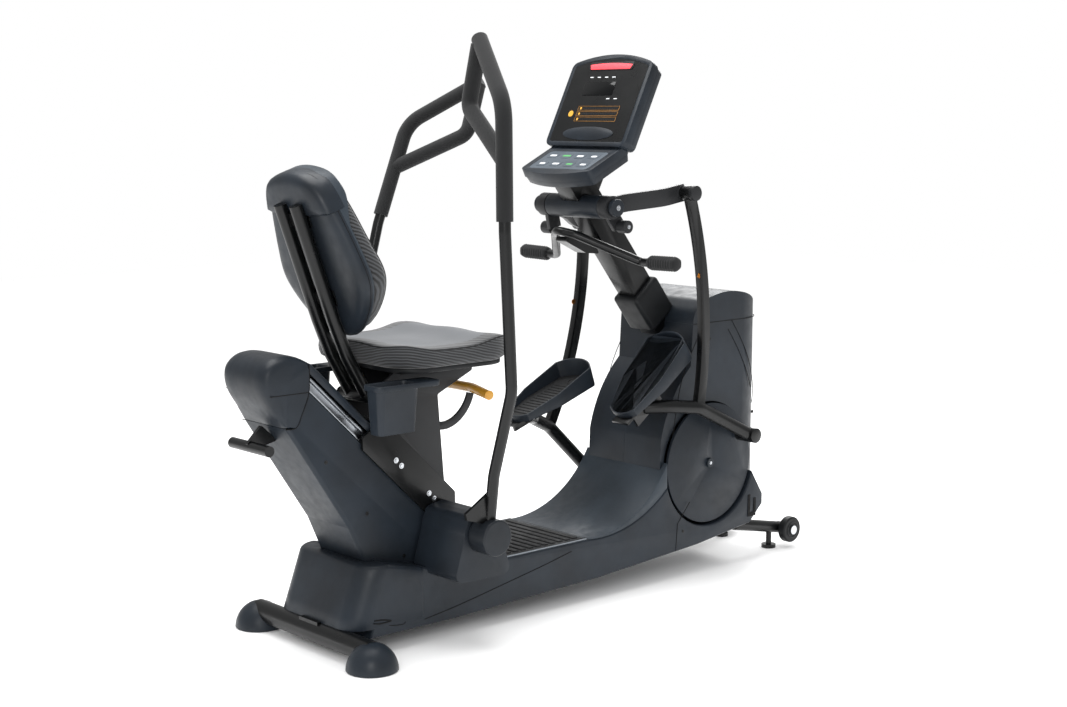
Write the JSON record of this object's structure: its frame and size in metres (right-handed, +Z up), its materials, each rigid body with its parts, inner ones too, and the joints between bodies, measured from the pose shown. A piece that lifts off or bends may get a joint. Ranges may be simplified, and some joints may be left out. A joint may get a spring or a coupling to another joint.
{
  "type": "seated elliptical cross-trainer",
  "caption": "Seated elliptical cross-trainer with swinging handle arms, rocking pedals, a sliding reclining seat on a sloped rail, a tilted console and a housed belt drive.",
  "frame": {"origin": "on the floor under the middle of the machine's bounding box", "axes": "+X from the seat towards the drive housing, +Y to the left of a person in the seat, +Z up"},
  "size_m": [1.8358, 0.8706, 1.4608],
  "materials": {
    "black_foam": "closed-cell foam",
    "black_gloss": "polished",
    "black_paint": "gloss powder coat",
    "black_rubber": "moulded ribs",
    "bright_chrome": "polished",
    "bright_steel": "brushed",
    "cast_grey": "machined",
    "dark_fabric": "ribbed weave",
    "dark_plastic": "fine textured",
    "grey_keypad": "satin membrane",
    "grey_paint": "satin powder coat",
    "slate_plastic": "satin moulded"
  },
  "bodies": {
    "frame": {"base_beam": "black_paint", "rear_stabiliser": "black_paint", "floor_feet": "slate_plastic", "front_stabiliser": "black_paint", "wheel_bolts": "bright_chrome", "base_cover_right": "slate_plastic", "base_cover_left": "slate_plastic", "step_mat": "black_rubber", "footwell_cover": "slate_plastic", "drive_cover_right": "slate_plastic", "drive_cover_left": "slate_plastic", "drive_top_cap": "slate_plastic", "mast": "black_paint", "mast_boot": "dark_plastic", "pivot_tube": "grey_paint", "pivot_shaft": "bright_steel", "handlebar": "black_paint", "handlebar_grips": "black_foam", "console_rear_shell": "slate_plastic", "console_front_shell": "slate_plastic", "console_panel": "black_gloss", "console_keypad": "grey_keypad", "drive_belt": "black_rubber", "drive_bearings": "bright_steel", "tower_post": "black_paint", "tower_cover": "slate_plastic", "tower_head_cap": "slate_plastic", "seat_rails": "bright_steel", "lift_handle": "black_paint"},
    "crank": {"crank_axle": "bright_steel", "crank_discs": "slate_plastic", "crank_pulley": "dark_plastic"},
    "flywheel_rotor": {"flywheel": "cast_grey"},
    "right_wheel": {"wheel_right": "dark_plastic"},
    "left_wheel": {"wheel_left": "dark_plastic"},
    "right_rocker": {"rocker_right": "grey_paint"},
    "left_rocker": {"rocker_left": "grey_paint"},
    "right_foot": {"foot_link_right": "black_paint", "pedal_right": "slate_plastic", "tread_right": "black_rubber"},
    "left_foot": {"foot_link_left": "black_paint", "pedal_left": "slate_plastic", "tread_left": "black_rubber"},
    "right_arm": {"arm_right": "black_paint", "arm_foam_right": "black_foam", "arm_hub_right": "dark_plastic"},
    "left_arm": {"arm_left": "black_paint", "arm_foam_left": "black_foam", "arm_hub_left": "dark_plastic"},
    "seat_carriage": {"carriage": "black_paint", "carriage_rollers": "dark_plastic", "seat_post": "grey_paint", "seat_pan": "dark_plastic", "seat_cushion": "dark_fabric", "seat_bins": "slate_plastic"},
    "backrest": {"back_tubes": "black_paint", "back_shell": "slate_plastic", "back_cushion": "dark_fabric"},
    "release_lever": {"lever": "grey_paint"}
  },
  "joints": [
    {"name": "right_stroke", "type": "hinge", "parent": "frame", "child": "right_rocker", "pos_m": [0.1379, 0, 1.03], "axis": [0, 1, 0], "range_deg": [-1, 26.9]},
    {"name": "left_stroke", "type": "hinge", "parent": "frame", "child": "left_rocker", "pos_m": [0.1379, 0, 1.03], "axis": [0, 1, 0], "range_deg": [-27.2, 1.3]},
    {"name": "right_foot_link", "type": "hinge", "parent": "right_rocker", "child": "right_foot", "pos_m": [0.3529, 0, 1.064], "axis": [0, 1, 0], "range_deg": [-8.92, 0.62]},
    {"name": "left_foot_link", "type": "hinge", "parent": "left_rocker", "child": "left_foot", "pos_m": [0.34616, 0, 0.96667], "axis": [0, 1, 0], "range_deg": [-0.62, 8.92]},
    {"name": "right_arm_swing", "type": "hinge", "parent": "frame", "child": "right_arm", "pos_m": [-0.4321, 0, 0.28], "axis": [0, 1, 0], "range_deg": [-1.11, 22.21]},
    {"name": "left_arm_swing", "type": "hinge", "parent": "frame", "child": "left_arm", "pos_m": [-0.4321, 0, 0.28], "axis": [0, 1, 0], "range_deg": [-22.21, 1.11]},
    {"name": "crank_spin", "type": "hinge", "parent": "frame", "child": "crank", "pos_m": [0.4999, 0, 0.308], "axis": [0, 1, 0], "continuous": true},
    {"name": "flywheel_spin", "type": "hinge", "parent": "frame", "child": "flywheel_rotor", "pos_m": [0.6029, 0, 0.56], "axis": [0, 1, 0], "continuous": true},
    {"name": "right_wheel_spin", "type": "hinge", "parent": "frame", "child": "right_wheel", "pos_m": [0.8799, 0, 0.052], "axis": [0, 1, 0], "continuous": true},
    {"name": "left_wheel_spin", "type": "hinge", "parent": "frame", "child": "left_wheel", "pos_m": [0.8799, 0, 0.052], "axis": [0, 1, 0], "continuous": true},
    {"name": "seat_slide", "type": "slide", "parent": "frame", "child": "seat_carriage", "axis": [-0.7218, 0, 0.6921], "range_m": [0, 0.2]},
    {"name": "back_recline", "type": "hinge", "parent": "seat_carriage", "child": "backrest", "pos_m": [-0.5861, 0, 0.6], "axis": [0, 1, 0], "range_deg": [-10, 0]},
    {"name": "lever_pull", "type": "hinge", "parent": "seat_carriage", "child": "release_lever", "pos_m": [-0.4421, 0, 0.5], "axis": [0, 1, 0], "range_deg": [0, 12], "stiffness_Nm_per_rad": 8, "springref_deg": -20.05}
  ],
  "couplings": [
    {"joint": "left_stroke", "follows": "right_stroke", "ratio": -1},
    {"joint": "right_foot_link", "follows": "right_stroke", "ratio": -0.32046},
    {"joint": "left_foot_link", "follows": "right_stroke", "ratio": 0.32046},
    {"joint": "right_arm_swing", "follows": "right_stroke", "ratio": 0.81467},
    {"joint": "left_arm_swing", "follows": "right_stroke", "ratio": -0.81467},
    {"joint": "flywheel_spin", "follows": "crank_spin", "ratio": 4.8214}
  ]
}
